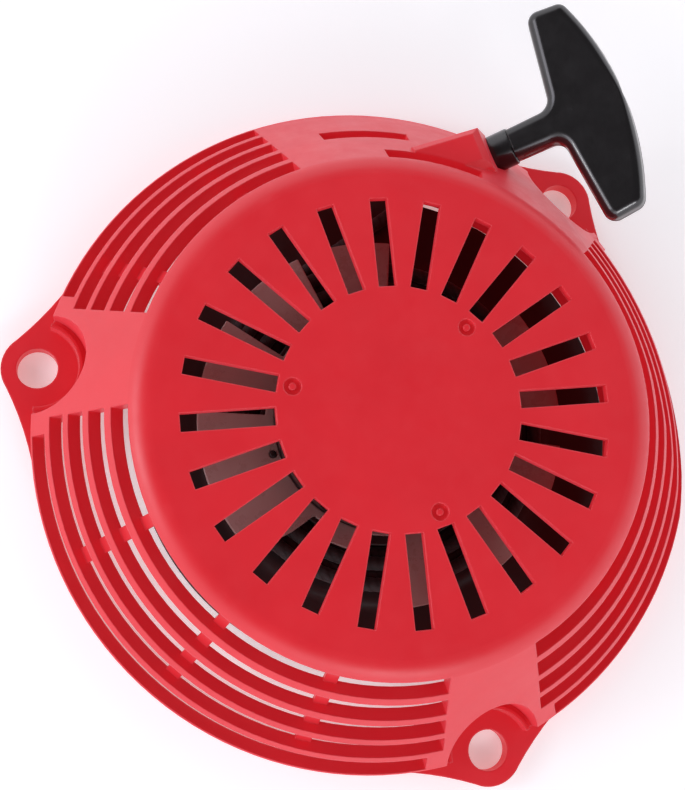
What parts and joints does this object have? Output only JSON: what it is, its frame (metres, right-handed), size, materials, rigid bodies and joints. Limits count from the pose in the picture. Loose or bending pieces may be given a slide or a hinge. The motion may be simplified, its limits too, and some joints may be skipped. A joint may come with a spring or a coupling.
{
  "type": "recoil starter",
  "caption": "Slatted round recoil starter housing with mounting ears, rope reel, spring, pawls, angled rope outlet and a T-shaped pull handle.",
  "frame": {"origin": "centre of the circle of mounting holes, on the back plane that rests on the engine", "axes": "+Z along the reel axis from the engine side to the capped front; +X the plan direction in which the rope is pulled; +Y toward the side the rope leaves on"},
  "size_m": [0.2031, 0.2136, 0.0528],
  "materials": {
    "housing_red": "satin moulded",
    "black_plastic": "semi-gloss moulded",
    "reel_nylon": "natural nylon",
    "rope": "braided",
    "steel": "zinc plated",
    "spring_steel": "oiled strip",
    "brass": "turned"
  },
  "bodies": {
    "housing_body": {"housing": "housing_red", "post_insert": "brass", "rope_guide": "steel", "rope_run": "rope", "recoil_spring": "spring_steel", "friction_spring": "spring_steel", "thrust_washer": "steel", "centre_screw": "steel"},
    "reel_body": {"reel": "black_plastic", "front_flange": "reel_nylon", "spring_cover": "black_plastic", "rope_winding": "rope", "rope_knot_reel": "rope", "pawl_pin_1": "steel", "pawl_pin_2": "steel", "pawl_spring_1": "spring_steel", "pawl_spring_2": "spring_steel"},
    "pull_body": {"rope_knot_handle": "rope", "grip_retainer": "steel"},
    "grip_body": {"handle_grip": "black_plastic", "grip_collar": "black_plastic"},
    "guide_body": {"ratchet_guide": "steel"},
    "pawl_1_body": {"pawl_1": "steel"},
    "pawl_2_body": {"pawl_2": "steel"}
  },
  "joints": [
    {"name": "reel_spin", "type": "hinge", "parent": "housing_body", "child": "reel_body", "pos_m": [0, 0, 0], "axis": [0, 0, 1], "range_deg": [-1620, 0], "stiffness_Nm_per_rad": 0.02, "springref_deg": 572.96, "deforming": ["recoil_spring", "rope_run", "rope_winding"]},
    {"name": "handle_pull", "type": "slide", "parent": "housing_body", "child": "pull_body", "axis": [0.866, 0, 0.5], "range_m": [0, 1.22], "deforming": ["rope_run"]},
    {"name": "handle_twist", "type": "hinge", "parent": "pull_body", "child": "grip_body", "pos_m": [0.0685, 0.0666, 0.03], "axis": [0.866, 0, 0.5], "range_deg": [-180, 180]},
    {"name": "guide_turn", "type": "hinge", "parent": "reel_body", "child": "guide_body", "pos_m": [0, 0, 0], "axis": [0, 0, 1], "range_deg": [0, 25], "stiffness_Nm_per_rad": 0.004, "springref_deg": -11.46},
    {"name": "pawl_1_swing", "type": "hinge", "parent": "reel_body", "child": "pawl_1_body", "pos_m": [0.00673, 0.02511, 0], "axis": [0, 0, 1], "range_deg": [0, 28.5]},
    {"name": "pawl_2_swing", "type": "hinge", "parent": "reel_body", "child": "pawl_2_body", "pos_m": [-0.00673, -0.02511, 0], "axis": [0, 0, 1], "range_deg": [0, 28.5]}
  ],
  "couplings": [
    {"joint": "handle_pull", "follows": "reel_spin", "m_per_rad": -0.043},
    {"joint": "pawl_1_swing", "follows": "guide_turn", "ratio": 1.12},
    {"joint": "pawl_2_swing", "follows": "guide_turn", "ratio": 1.12}
  ]
}
